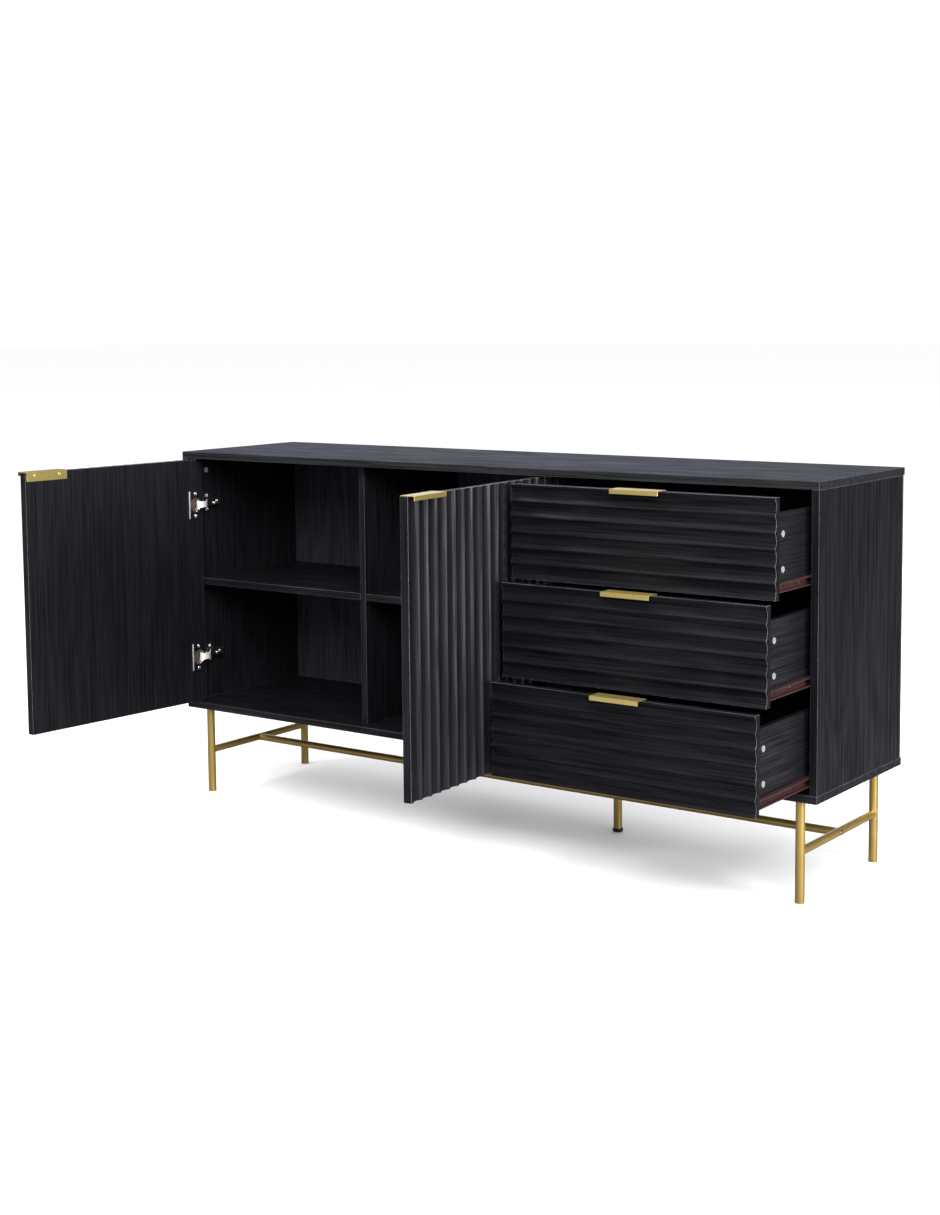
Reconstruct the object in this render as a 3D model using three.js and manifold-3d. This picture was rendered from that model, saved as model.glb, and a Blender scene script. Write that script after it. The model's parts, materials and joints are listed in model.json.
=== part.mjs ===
// Sideboard buffet: a flat-pack cabinet on a tubular base, with two fluted inset doors on concealed
// hinges and three fluted drawers on ball-bearing runners.
// Millimetres, +X to the right, +Y to the back, +Z up, floor at Z = 0.
// It stands as it is shown in use: both doors open and each drawer pulled out by its own amount.

import * as THREE from 'three';
import { mergeVertices } from 'three/addons/utils/BufferGeometryUtils.js';
import Module from 'manifold-3d';

const wasm = await Module();
wasm.setup();

// ---------------------------------------------------------------- driving dimensions
// Case
const CASE_WIDTH = 1600;
const CASE_DEPTH = 382;
const CASE_HEIGHT = 596;
const BOARD = 15;
const BACK_BOARD = 5;
const BACK_STEP = 10; // top and bottom run this far behind the side panels
const DRAWER_BAY_WIDTH = 571;
const SHELF_CLEAR_HEIGHT = 272; // free height under each shelf
const SEAT = 0.2; // glue line between boards that meet
// Base
const BASE_HEIGHT = 199;
const LEG_DIAMETER = 18;
const LEG_INSET_X = 46;
const LEG_INSET_Y = 27;
const RAIL_TUBE_DIAMETER = 16;
const RAIL_TUBE_HEIGHT = 98;
const FIT_GAP = 0.3; // where one piece is shaped to another
const SUPPORT_LEG_BACK = 66; // how far the middle leg stands behind the case's centre line
const FOOT_DIAMETER = 22;
const FOOT_HEIGHT = 8;
// Fronts
const FRONT_THICKNESS = 17;
const FRONT_RECESS = 3; // closed fronts stand this far behind the case's front edges
const FLUTE_PITCH = 30;
const FLUTE_DEPTH = 5;
const FLUTE_CREST = 1.6; // flat left between two flutes
const DOOR_SIDE_GAP = 4;
const DOOR_END_GAP = 2.5;
const DRAWER_SIDE_GAP = 2.5;
const DRAWER_END_GAP = 3.5;
const DRAWER_COUNT = 3;
const DRAWER_SPACING_GAP = 5;
// Handles: folded sheet that hooks over the top edge of a front
const HANDLE_LENGTH = 104;
const HANDLE_SHEET = 1.5;
const HANDLE_OVERHANG = 13;
const HANDLE_LIP = 9;
const HANDLE_FLANGE = 20;
const HANDLE_END_MARGIN = 3;
// Concealed hinges
const SWING_CLEARANCE = 1; // between a turning door's corner and the board that carries it
const SWING_TO_ARM = 1.5; // between that corner and the hinge arm behind it
const SWING_TO_SHELF = 4.5; // between that corner and the shelf behind it
const HINGE_FROM_END = 104; // hinge centre from the door's top and bottom
const CUP_DIAMETER = 35;
const CUP_DEPTH = 10.5;
const CUP_FROM_EDGE = 22;
const CUP_FLANGE_HEIGHT = 63;
const CUP_FLANGE_WIDTH = 24;
const CUP_FLANGE_THICKNESS = 2.5;
const CUP_WALL = 1.2;
const ARM_WIDTH = 14.5;
const ARM_RISE = 13;
const ARM_END = 100; // behind the case's front edges
const PLATE_CENTRE = 59;
const PLATE_LENGTH = 16;
const PLATE_HEIGHT = 44;
const PLATE_THICKNESS = 2;
// Drawer boxes and runners
const BOX_SIDE_THICKNESS = 12;
const BOX_HEIGHT = 140;
const BOX_BACK_GAP = 17; // behind a closed drawer
const BOX_RISE = 12; // underside of the box above the front's lower edge
const BOX_BOTTOM_THICKNESS = 5;
const BOX_BOTTOM_RISE = 8;
const RUNNER_SPACE = 13;
const RUNNER_BACK_GAP = 7;
const RUNNER_HEIGHT = 17;
const RUNNER_SHEET = 1.2;
const RUNNER_LIP = 1.2;
const RUNNER_CLEARANCE = 0.8;
// How it stands open
const DOOR_LEFT_OPEN = 95;
const DOOR_RIGHT_OPEN = 93;
const DRAWERS_OUT = [142, 174, 213]; // top, middle, bottom
// The origin lies on the floor, under the middle of everything as it stands open
const CASE_CENTRE = new THREE.Vector3(17, 232, 0);

// ---------------------------------------------------------------- places that follow from them
// A door turns about the middle of its thickness, just far enough in for its corners to pass the board
// beside it. Arms, shelves and partitions keep out of the circle its corners sweep.
const HALF_FRONT = FRONT_THICKNESS / 2;
const CORNER_GAP = DOOR_SIDE_GAP - SWING_CLEARANCE;
const HINGE_PIVOT_IN = DOOR_SIDE_GAP + (HALF_FRONT * HALF_FRONT - CORNER_GAP * CORNER_GAP) / (2 * CORNER_GAP);
const HINGE_PIVOT_BACK = FRONT_RECESS + HALF_FRONT;
const SWING_BACK = HINGE_PIVOT_BACK + HINGE_PIVOT_IN - SWING_CLEARANCE;
const ARM_START = SWING_BACK + SWING_TO_ARM;
const INNER_SETBACK = SWING_BACK + SWING_TO_SHELF;
const LEFT = -CASE_WIDTH / 2;
const RIGHT = CASE_WIDTH / 2;
const FRONT = -CASE_DEPTH / 2;
const BACK = CASE_DEPTH / 2;
const FLOOR_BOARD_TOP = BASE_HEIGHT + BOARD;
const TOP_BOARD_UNDERSIDE = BASE_HEIGHT + CASE_HEIGHT - BOARD;
const INNER_LEFT = LEFT + BOARD;
const INNER_RIGHT = RIGHT - BOARD;
const INNER_FRONT = FRONT + INNER_SETBACK;
const INNER_BACK = BACK - BACK_STEP;
const DRAWER_PARTITION_RIGHT = INNER_RIGHT - DRAWER_BAY_WIDTH;
const DRAWER_PARTITION_LEFT = DRAWER_PARTITION_RIGHT - BOARD;
const DOOR_BAY_CENTRE = (INNER_LEFT + DRAWER_PARTITION_LEFT) / 2;
const OPENING_HEIGHT = TOP_BOARD_UNDERSIDE - FLOOR_BOARD_TOP;
const DOOR_WIDTH = (DRAWER_PARTITION_LEFT - INNER_LEFT - 3 * DOOR_SIDE_GAP) / 2;
const DOOR_HEIGHT = OPENING_HEIGHT - 2 * DOOR_END_GAP;
const DRAWER_WIDTH = DRAWER_BAY_WIDTH - 2 * DRAWER_SIDE_GAP;
const DRAWER_FRONT_HEIGHT = (OPENING_HEIGHT - 2 * DRAWER_END_GAP
  - (DRAWER_COUNT - 1) * DRAWER_SPACING_GAP) / DRAWER_COUNT;
const DRAWER_PITCH = DRAWER_FRONT_HEIGHT + DRAWER_SPACING_GAP;
const BOX_WIDTH = DRAWER_BAY_WIDTH - 2 * RUNNER_SPACE;
const DRAWER_BAY_CENTRE = (DRAWER_PARTITION_RIGHT + INNER_RIGHT) / 2;
const RUNNER_LENGTH = INNER_BACK - RUNNER_BACK_GAP - INNER_FRONT - RUNNER_CLEARANCE;

// ---------------------------------------------------------------- finishes
const finish = (color, roughness, metalness) => new THREE.MeshStandardMaterial({ color, roughness, metalness });
const blackLaminate = () => finish(0x24252a, 0.5, 0);
const satinBrass = () => finish(0xc9a94f, 0.32, 1);
const nickelSteel = () => finish(0xd6d4cf, 0.22, 1);
const runnerSteel = () => finish(0x6b3a33, 0.4, 0.8);
const blackPlastic = () => finish(0x151515, 0.5, 0);

// ---------------------------------------------------------------- shared makers
const model = new THREE.Group();
const caseGroup = new THREE.Group();
caseGroup.position.copy(CASE_CENTRE);
model.add(caseGroup);

function addMesh(parent, name, geometry, material) {
  const mesh = new THREE.Mesh(geometry, material);
  mesh.name = name;
  parent.add(mesh);
  return mesh;
}

// A board or bar between two corners.
function addBoard(parent, name, low, high, material) {
  const size = high.map((value, i) => value - low[i]);
  const geometry = new THREE.BoxGeometry(...size);
  const mesh = addMesh(parent, name, geometry, material);
  mesh.position.set(...low.map((value, i) => value + size[i] / 2));
  return mesh;
}

function solidOf(geometry) {
  const bare = geometry.clone();
  bare.deleteAttribute('normal');
  bare.deleteAttribute('uv');
  const merged = mergeVertices(bare, 1e-4);
  return new wasm.Manifold(new wasm.Mesh({
    numProp: 3,
    vertProperties: new Float32Array(merged.attributes.position.array),
    triVerts: new Uint32Array(merged.index.array),
  }));
}

function geometryOf(solid) {
  const mesh = solid.getMesh();
  const geometry = new THREE.BufferGeometry();
  geometry.setAttribute('position', new THREE.BufferAttribute(mesh.vertProperties, 3));
  geometry.setIndex(new THREE.BufferAttribute(mesh.triVerts, 1));
  return geometry;
}

// The same solid in left and right versions: side = 1 leaves it, side = -1 mirrors it in X.
function handed(geometry, side) {
  return side > 0 ? geometry : geometryOf(solidOf(geometry).mirror([1, 0, 0]));
}

// A round bar along X, Y or Z, centred on a point.
function roundBar(axis, diameter, length, centre, sides = 28) {
  const geometry = new THREE.CylinderGeometry(diameter / 2, diameter / 2, length, sides);
  if (axis === 'x') geometry.rotateZ(Math.PI / 2);
  if (axis === 'z') geometry.rotateX(Math.PI / 2);
  return geometry.translate(...centre);
}

// An outline drawn in (first, second) coordinates, carried along a length.
// It comes out with the outline in XY and the length along +Z from zero.
function carried(shape, length, curveSegments = 8) {
  return new THREE.ExtrudeGeometry(shape, { depth: length, bevelEnabled: false, curveSegments });
}

function outline(points) {
  return new THREE.Shape(points.map(([a, b]) => new THREE.Vector2(a, b)));
}

// ---------------------------------------------------------------- case boards
function addCase() {
  const boardLow = FLOOR_BOARD_TOP + SEAT;
  const boardHigh = TOP_BOARD_UNDERSIDE - SEAT;
  addBoard(caseGroup, 'top_panel', [LEFT, FRONT, TOP_BOARD_UNDERSIDE],
    [RIGHT, BACK, TOP_BOARD_UNDERSIDE + BOARD], blackLaminate());
  addBoard(caseGroup, 'bottom_panel', [LEFT, FRONT, BASE_HEIGHT], [RIGHT, BACK, FLOOR_BOARD_TOP], blackLaminate());
  addBoard(caseGroup, 'side_panel_left', [LEFT, FRONT, boardLow], [INNER_LEFT, INNER_BACK, boardHigh],
    blackLaminate());
  addBoard(caseGroup, 'side_panel_right', [INNER_RIGHT, FRONT, boardLow], [RIGHT, INNER_BACK, boardHigh],
    blackLaminate());
  addBoard(caseGroup, 'partition_centre', [DOOR_BAY_CENTRE - BOARD / 2, INNER_FRONT, boardLow],
    [DOOR_BAY_CENTRE + BOARD / 2, INNER_BACK, boardHigh], blackLaminate());
  addBoard(caseGroup, 'partition_drawers', [DRAWER_PARTITION_LEFT, INNER_FRONT, boardLow],
    [DRAWER_PARTITION_RIGHT, INNER_BACK, boardHigh], blackLaminate());
  addBoard(caseGroup, 'back_panel', [LEFT + SEAT, INNER_BACK + SEAT, boardLow],
    [RIGHT - SEAT, INNER_BACK + SEAT + BACK_BOARD, boardHigh], blackLaminate());
  const shelves = [
    ['shelf_left', INNER_LEFT, DOOR_BAY_CENTRE - BOARD / 2],
    ['shelf_right', DOOR_BAY_CENTRE + BOARD / 2, DRAWER_PARTITION_LEFT],
  ];
  for (const [name, from, to] of shelves) {
    const underside = FLOOR_BOARD_TOP + SHELF_CLEAR_HEIGHT;
    addBoard(caseGroup, name, [from + SEAT, INNER_FRONT, underside],
      [to - SEAT, INNER_BACK - SEAT, underside + BOARD], blackLaminate());
  }
}

// ---------------------------------------------------------------- tubular base
function addBase() {
  const legX = CASE_WIDTH / 2 - LEG_INSET_X;
  const legY = CASE_DEPTH / 2 - LEG_INSET_Y;
  const legLength = BASE_HEIGHT - SEAT;
  const clearLeg = LEG_DIAMETER + 2 * FIT_GAP;
  const crossTubes = [];
  for (const [side, sign] of [['left', -1], ['right', 1]]) {
    for (const [end, y] of [['front', -legY], ['rear', legY]]) {
      addMesh(caseGroup, `leg_${end}_${side}`,
        roundBar('z', LEG_DIAMETER, legLength, [sign * legX, y, legLength / 2]), satinBrass());
    }
    let tube = solidOf(roundBar('y', RAIL_TUBE_DIAMETER, 2 * legY, [sign * legX, 0, RAIL_TUBE_HEIGHT]));
    for (const y of [-legY, legY]) {
      tube = tube.subtract(solidOf(roundBar('z', clearLeg, BASE_HEIGHT, [sign * legX, y, BASE_HEIGHT / 2])));
    }
    addMesh(caseGroup, `cross_tube_${side}`, geometryOf(tube), satinBrass());
    crossTubes.push(sign * legX);
  }
  let stretcher = solidOf(roundBar('x', RAIL_TUBE_DIAMETER, 2 * legX, [0, 0, RAIL_TUBE_HEIGHT]));
  for (const x of crossTubes) {
    const clearTube = roundBar('y', RAIL_TUBE_DIAMETER + 2 * FIT_GAP, 2 * legY, [x, 0, RAIL_TUBE_HEIGHT]);
    stretcher = stretcher.subtract(solidOf(clearTube));
  }
  addMesh(caseGroup, 'stretcher', geometryOf(stretcher), satinBrass());

  const supportX = DRAWER_PARTITION_LEFT + BOARD;
  const supportLength = BASE_HEIGHT - FOOT_HEIGHT - 2 * SEAT;
  addMesh(caseGroup, 'support_leg', roundBar('z', LEG_DIAMETER, supportLength,
    [supportX, SUPPORT_LEG_BACK, FOOT_HEIGHT + SEAT + supportLength / 2]), satinBrass());
  addSupportFoot(supportX);
}

// Moulded cap under the middle leg: a short drum with a rounded lower rim.
function addSupportFoot(x) {
  const radius = FOOT_DIAMETER / 2;
  const rim = FOOT_HEIGHT * 0.4;
  const profile = new THREE.Path();
  profile.moveTo(0, 0);
  profile.lineTo(radius - rim, 0);
  profile.absarc(radius - rim, rim, rim, -Math.PI / 2, 0, false);
  profile.lineTo(radius, FOOT_HEIGHT);
  profile.lineTo(0, FOOT_HEIGHT);
  const foot = new THREE.LatheGeometry(profile.getPoints(4), 28).rotateX(Math.PI / 2);
  addMesh(caseGroup, 'support_foot', foot, blackPlastic()).position.set(x, SUPPORT_LEG_BACK, 0);
}

// ---------------------------------------------------------------- fluted fronts
// Section through a fluted board: coordinate one runs across the flutes from the edge where they
// start, coordinate two from the crests (0) into the board. Whole flutes only: what is left over is
// a plain land at the far edge, which carries the handle.
function flutedSection(width) {
  const flutes = Math.floor(width / FLUTE_PITCH);
  const half = (FLUTE_PITCH - FLUTE_CREST) / 2;
  const radius = (half * half + FLUTE_DEPTH * FLUTE_DEPTH) / (2 * FLUTE_DEPTH);
  const sweep = Math.asin(half / radius);
  const section = new THREE.Shape();
  section.moveTo(0, FRONT_THICKNESS);
  section.lineTo(0, 0);
  for (let i = 0; i < flutes; i += 1) {
    const middle = (i + 0.5) * FLUTE_PITCH;
    section.lineTo(middle - half, 0);
    section.absarc(middle, FLUTE_DEPTH - radius, radius, Math.PI / 2 + sweep, Math.PI / 2 - sweep, true);
  }
  section.lineTo(width, 0);
  section.lineTo(width, FRONT_THICKNESS);
  return section;
}

// Section of a handle: coordinate one runs from the front's crests into the board, coordinate two up
// from the board's top edge. A lip hangs in front, a plate lies on the edge, a flange screws on behind.
function handleSection() {
  const front = -HANDLE_OVERHANG;
  const back = FRONT_THICKNESS + SEAT + HANDLE_SHEET;
  const top = SEAT + HANDLE_SHEET;
  return outline([
    [front, top - HANDLE_LIP],
    [front, top],
    [back, top],
    [back, top - HANDLE_FLANGE],
    [back - HANDLE_SHEET, top - HANDLE_FLANGE],
    [back - HANDLE_SHEET, SEAT],
    [front + HANDLE_SHEET, SEAT],
    [front + HANDLE_SHEET, top - HANDLE_LIP],
  ]);
}

// A handle along +X from zero, ready to be placed on a front whose crests are at Y = 0.
function handleGeometry() {
  const geometry = carried(handleSection(), HANDLE_LENGTH);
  geometry.rotateX(Math.PI / 2);
  geometry.rotateZ(Math.PI / 2);
  return geometry;
}

// ---------------------------------------------------------------- doors and hinges
// A door is drawn closed, about its own pivot, with side = 1 for a door hinged on its left edge and
// side = -1 for one hinged on its right edge, and then swung open.
function addDoor(name, side, carrierFace, openAngle) {
  const pivot = new THREE.Group();
  pivot.position.set(carrierFace + side * HINGE_PIVOT_IN, FRONT + HINGE_PIVOT_BACK, 0);
  pivot.rotation.z = THREE.MathUtils.degToRad(-side * openAngle);
  caseGroup.add(pivot);
  const edge = side * (DOOR_SIDE_GAP - HINGE_PIVOT_IN);
  const face = FRONT_RECESS - HINGE_PIVOT_BACK;
  const bottom = FLOOR_BOARD_TOP + DOOR_END_GAP;
  const hingeHeights = [bottom + DOOR_HEIGHT - HINGE_FROM_END, bottom + HINGE_FROM_END];
  const cupX = edge + side * CUP_FROM_EDGE;
  const inner = face + FRONT_THICKNESS;

  const panel = handed(carried(flutedSection(DOOR_WIDTH), DOOR_HEIGHT), side).translate(edge, face, bottom);
  let board = solidOf(panel);
  for (const z of hingeHeights) {
    board = board.subtract(solidOf(roundBar('y', CUP_DIAMETER + 2 * FIT_GAP, 2 * (CUP_DEPTH + FIT_GAP),
      [cupX, inner, z], 40)));
  }
  addMesh(pivot, `door_${name}`, geometryOf(board), blackLaminate());

  const handle = addMesh(pivot, `handle_door_${name}`, handleGeometry(), satinBrass());
  const handleStart = edge + side * (DOOR_WIDTH - HANDLE_END_MARGIN) - (side > 0 ? HANDLE_LENGTH : 0);
  handle.position.set(handleStart, face, bottom + DOOR_HEIGHT);

  hingeHeights.forEach((z, i) => {
    const level = i === 0 ? 'upper' : 'lower';
    const cup = hingeCup(side).translate(cupX, inner, z);
    addMesh(pivot, `hinge_cup_${name}_${level}`, cup, nickelSteel());
    addHingeArm(`hinge_arm_${name}_${level}`, side, carrierFace, z);
  });
}

// Pressed cup with its screw flange, about the cup's own axis; Y = 0 is the door's inner face.
function hingeCup(side) {
  const rim = SEAT + CUP_FLANGE_THICKNESS;
  const length = CUP_DEPTH + rim;
  const cup = solidOf(roundBar('y', CUP_DIAMETER, length, [0, rim - length / 2, 0], 40));
  const flange = new THREE.BoxGeometry(CUP_FLANGE_WIDTH, CUP_FLANGE_THICKNESS, CUP_FLANGE_HEIGHT);
  flange.translate(side * (CUP_DIAMETER - CUP_FLANGE_WIDTH) / 2, SEAT + CUP_FLANGE_THICKNESS / 2, 0);
  const hollow = roundBar('y', CUP_DIAMETER - 2 * CUP_WALL, length, [0, rim - length / 2 + CUP_WALL, 0], 40);
  return geometryOf(cup.add(solidOf(flange)).subtract(solidOf(hollow)));
}

// Arm and mounting plate, screwed to the board that carries the hinge.
function addHingeArm(name, side, carrierFace, z) {
  const start = FRONT + ARM_START;
  const end = FRONT + ARM_END;
  const plate = FRONT + PLATE_CENTRE;
  const x = (rise) => carrierFace + side * rise;
  const profile = [
    [x(ARM_RISE * 0.5), start],
    [x(ARM_RISE), start],
    [x(ARM_RISE), start + ARM_WIDTH],
    [x(ARM_RISE * 0.9), end - 6],
    [x(ARM_RISE * 0.6), end],
    [x(SEAT), end],
    [x(SEAT), plate - PLATE_LENGTH / 2],
    [x(ARM_RISE * 0.4), plate - PLATE_LENGTH],
  ];
  const arm = carried(outline(profile), ARM_WIDTH).translate(0, 0, z - ARM_WIDTH / 2);
  const wings = new THREE.BoxGeometry(PLATE_THICKNESS, PLATE_LENGTH, PLATE_HEIGHT);
  wings.translate(x(SEAT + PLATE_THICKNESS / 2), plate, z);
  addMesh(caseGroup, name, geometryOf(solidOf(arm).add(solidOf(wings))), nickelSteel());
}

// ---------------------------------------------------------------- drawers and runners
// Open channel on the drawer side: coordinate one from the drawer side outwards, coordinate two up.
function drawerRailSection(depth) {
  const top = RUNNER_HEIGHT;
  const t = RUNNER_SHEET;
  return outline([
    [0, 0],
    [depth, 0],
    [depth, t + RUNNER_LIP],
    [depth - t, t + RUNNER_LIP],
    [depth - t, t],
    [t, t],
    [t, top - t],
    [depth - t, top - t],
    [depth - t, top - t - RUNNER_LIP],
    [depth, top - t - RUNNER_LIP],
    [depth, top],
    [0, top],
  ]);
}

// The narrower channel on the case board, which runs inside the other: same coordinates.
function caseRailSection(depth) {
  const low = RUNNER_SHEET + RUNNER_LIP + RUNNER_CLEARANCE;
  const high = RUNNER_HEIGHT - low;
  const inside = RUNNER_SHEET + RUNNER_CLEARANCE;
  const t = RUNNER_SHEET;
  return outline([
    [inside, low],
    [depth, low],
    [depth, high],
    [inside, high],
    [inside, high - t],
    [depth - t, high - t],
    [depth - t, low + t],
    [inside, low + t],
  ]);
}

// Carries a runner section backwards from y, starting at face x and going outwards by side.
function runnerGeometry(section, side, x, y, z) {
  const rail = carried(section, RUNNER_LENGTH).rotateX(Math.PI / 2).translate(0, RUNNER_LENGTH, 0);
  return handed(rail, side).translate(x, y, z);
}

function addDrawer(name, index) {
  const closedFace = FRONT + FRONT_RECESS;
  const bottom = TOP_BOARD_UNDERSIDE - DRAWER_END_GAP - DRAWER_FRONT_HEIGHT - index * DRAWER_PITCH;
  const drawer = new THREE.Group();
  drawer.position.y = -DRAWERS_OUT[index];
  caseGroup.add(drawer);

  const frontPanel = carried(flutedSection(DRAWER_FRONT_HEIGHT), DRAWER_WIDTH).rotateY(-Math.PI / 2);
  const front = addMesh(drawer, `drawer_front_${name}`, frontPanel, blackLaminate());
  front.position.set(DRAWER_BAY_CENTRE + DRAWER_WIDTH / 2, closedFace, bottom);

  const handle = addMesh(drawer, `handle_drawer_${name}`, handleGeometry(), satinBrass());
  handle.position.set(DRAWER_BAY_CENTRE - HANDLE_LENGTH / 2, closedFace, bottom + DRAWER_FRONT_HEIGHT);

  const boxFront = closedFace + FRONT_THICKNESS + SEAT;
  const boxBack = INNER_BACK - BOX_BACK_GAP;
  const low = bottom + BOX_RISE;
  const high = low + BOX_HEIGHT;
  const outerLeft = DRAWER_BAY_CENTRE - BOX_WIDTH / 2;
  const outerRight = DRAWER_BAY_CENTRE + BOX_WIDTH / 2;
  const innerLeft = outerLeft + BOX_SIDE_THICKNESS;
  const innerRight = outerRight - BOX_SIDE_THICKNESS;
  const bottomPanelTop = low + BOX_BOTTOM_RISE + BOX_BOTTOM_THICKNESS;
  addBoard(drawer, `drawer_side_${name}_left`, [outerLeft, boxFront, low], [innerLeft, boxBack, high],
    blackLaminate());
  addBoard(drawer, `drawer_side_${name}_right`, [innerRight, boxFront, low], [outerRight, boxBack, high],
    blackLaminate());
  addBoard(drawer, `drawer_back_${name}`, [innerLeft + SEAT, boxBack - BOX_SIDE_THICKNESS, bottomPanelTop + SEAT],
    [innerRight - SEAT, boxBack, high], blackLaminate());
  addBoard(drawer, `drawer_bottom_${name}`, [innerLeft + SEAT, boxFront, low + BOX_BOTTOM_RISE],
    [innerRight - SEAT, boxBack, bottomPanelTop], blackLaminate());

  for (const [hand, side, x] of [['left', -1, outerLeft], ['right', 1, outerRight]]) {
    const depth = RUNNER_SPACE - RUNNER_SHEET - RUNNER_CLEARANCE - SEAT;
    const face = x + side * SEAT;
    addMesh(drawer, `drawer_rail_${name}_${hand}`, runnerGeometry(drawerRailSection(depth), side,
      face, boxFront + RUNNER_CLEARANCE, low), runnerSteel());
    addMesh(caseGroup, `case_rail_${name}_${hand}`, runnerGeometry(caseRailSection(RUNNER_SPACE - 2 * SEAT), side,
      face, INNER_FRONT + RUNNER_CLEARANCE, low), runnerSteel());
  }
}

// ---------------------------------------------------------------- assembly
addCase();
addBase();
addDoor('left', 1, INNER_LEFT, DOOR_LEFT_OPEN);
addDoor('right', -1, DRAWER_PARTITION_LEFT, DOOR_RIGHT_OPEN);
['top', 'middle', 'bottom'].forEach(addDrawer);

export default model;
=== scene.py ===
import json
import math

import bpy
import numpy as np
from mathutils import Matrix, Vector


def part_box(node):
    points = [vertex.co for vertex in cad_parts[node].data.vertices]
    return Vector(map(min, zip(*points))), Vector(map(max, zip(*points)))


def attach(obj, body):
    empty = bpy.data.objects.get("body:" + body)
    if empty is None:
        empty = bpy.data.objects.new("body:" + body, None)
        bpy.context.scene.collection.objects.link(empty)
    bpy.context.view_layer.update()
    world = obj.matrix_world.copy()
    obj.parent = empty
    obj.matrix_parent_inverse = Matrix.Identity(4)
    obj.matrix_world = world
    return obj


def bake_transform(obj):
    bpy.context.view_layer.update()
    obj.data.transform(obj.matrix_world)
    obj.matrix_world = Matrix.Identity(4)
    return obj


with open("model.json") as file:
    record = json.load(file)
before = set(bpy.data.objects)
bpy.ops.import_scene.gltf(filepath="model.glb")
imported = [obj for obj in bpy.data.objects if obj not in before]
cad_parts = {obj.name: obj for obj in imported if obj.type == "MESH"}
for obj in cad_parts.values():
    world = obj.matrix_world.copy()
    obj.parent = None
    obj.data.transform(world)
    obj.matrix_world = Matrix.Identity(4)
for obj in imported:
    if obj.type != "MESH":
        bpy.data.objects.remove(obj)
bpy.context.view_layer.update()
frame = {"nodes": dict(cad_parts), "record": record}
cad_nodes = frame["nodes"]


# ---------------------------------------------------------------- camera
# A 56 mm lens on a full-frame camera held upright, to the right of the sideboard and a little
# above its top, looking slightly down. The lens is shifted down, as on a view camera.
STAND = np.array([2.3113, -3.0790, 1.0982])
TURN, TILT, ROLL = -0.6302034, 0.0971218, -0.0092467  # radians
SENSOR = 36.0  # mm
FOCAL_LENGTH = 1891.5 / 1215  # in the picture's long sides
SHIFT_DOWN = 0.0879

ahead = np.array([math.sin(TURN) * math.cos(TILT), math.cos(TURN) * math.cos(TILT), -math.sin(TILT)])
level_right = np.array([math.cos(TURN), -math.sin(TURN), 0.0])
level_up = np.cross(level_right, ahead)
right = math.cos(ROLL) * level_right + math.sin(ROLL) * level_up
up = math.cos(ROLL) * level_up - math.sin(ROLL) * level_right
camera_data = bpy.data.cameras.new("studio_camera")
camera_data.sensor_width = SENSOR
camera_data.sensor_fit = "AUTO"
camera_data.lens = FOCAL_LENGTH * SENSOR
camera_data.shift_y = -SHIFT_DOWN
camera_data.clip_end = 100.0
camera = bpy.data.objects.new("studio_camera", camera_data)
bpy.context.scene.collection.objects.link(camera)
camera_axes = np.stack([right, up, -ahead], axis=1)
camera.matrix_world = Matrix([[*row, place] for row, place in zip(camera_axes, STAND)] + [[0, 0, 0, 1]])
bpy.context.scene.camera = camera


# ---------------------------------------------------------------- case boards
# Particle board covered with black melamine film that carries a printed and embossed ash grain.
# The panels are cut square, edged with a thin band of the same film and joined with cams and dowels.
FILM_DARK = "#0a0a0d"
FILM_LIGHT = "#18181c"
FILM_ROUGHNESS = 0.42
FILM_SHEEN = 0.24  # the embossing scatters most of the mirror-like share
FIGURE_WIDTH = 0.11  # m across the grain from one cathedral figure to the next
FIGURE_LENGTH = 0.55  # m along the grain
FIGURE_LINES = 9.0
FIGURE_SHARE = 0.09  # of the print's contrast, beside the pores
PORE_WIDTH = 0.0033  # m; real pores are about 0.3 mm wide, drawn coarser so that they show
PORE_LENGTH = 0.20
CLOUD_WIDTH = 0.16  # m, broad patches where the print is a little darker or paler
CLOUD_LENGTH = 0.7
CLOUD_SHARE = 0.15
GLOSS_SWING = 0.10
EMBOSS_DEPTH = 0.0012  # m
CORNER_ROUGHNESS = 0.35
BOARD_EDGE = 0.0008  # m, the soft corner of an edge band


def colour(hex_code):
    """Linear red, green, blue and alpha of an sRGB hex code."""
    channels = [int(hex_code[i:i + 2], 16) / 255 for i in (1, 3, 5)]
    linear = [c / 12.92 if c <= 0.04045 else ((c + 0.055) / 1.055) ** 2.4 for c in channels]
    return (*linear, 1.0)


def add_node(material, kind, settings=None, sockets=None):
    """Adds one shader node. settings go on the node itself; sockets are inputs by name or number,
    each either a value or another node's output, which is then linked."""
    made = material.node_tree.nodes.new(kind)
    for name, value in (settings or {}).items():
        setattr(made, name, value)
    for name, value in (sockets or {}).items():
        if isinstance(value, bpy.types.NodeSocket):
            material.node_tree.links.new(value, made.inputs[name])
        else:
            made.inputs[name].default_value = value
    return made


def blank_material(name):
    """A material that holds only a Principled shader and its output; returns it with the shader."""
    material = bpy.data.materials.new(name)
    material.use_nodes = True
    material.node_tree.nodes.clear()
    shader = add_node(material, "ShaderNodeBsdfPrincipled")
    add_node(material, "ShaderNodeOutputMaterial", sockets={"Surface": shader.outputs[0]})
    return material, shader


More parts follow.
